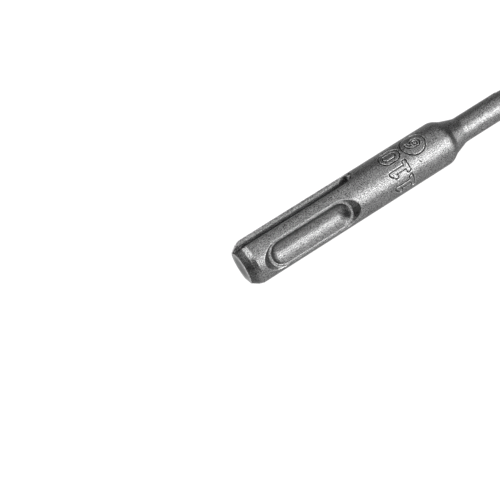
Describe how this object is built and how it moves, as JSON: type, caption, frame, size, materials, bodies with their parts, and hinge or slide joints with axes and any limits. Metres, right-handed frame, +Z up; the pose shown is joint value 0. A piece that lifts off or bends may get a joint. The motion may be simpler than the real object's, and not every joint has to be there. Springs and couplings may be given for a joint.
{
  "type": "sds plus drill bit",
  "caption": "Hammer-drill bit for masonry with a slotted round shank, a smooth neck, a right-hand spiral and a brazed carbide point.",
  "frame": {"origin": "centre of the flat at the struck end of the shank", "axes": "+X along the bit from the struck end to the point; +Z up from what it lies on, with one drive groove 34 degrees off +Z towards +Y and one ball recess 34 degrees above -Y"},
  "size_m": [0.11, 0.01, 0.01],
  "materials": {
    "blasted_steel": "bead-blasted, satin",
    "carbide": "ground, dark satin"
  },
  "bodies": {
    "root": {"drill_body": "blasted_steel", "carbide_tip": "carbide"}
  },
  "joints": []
}
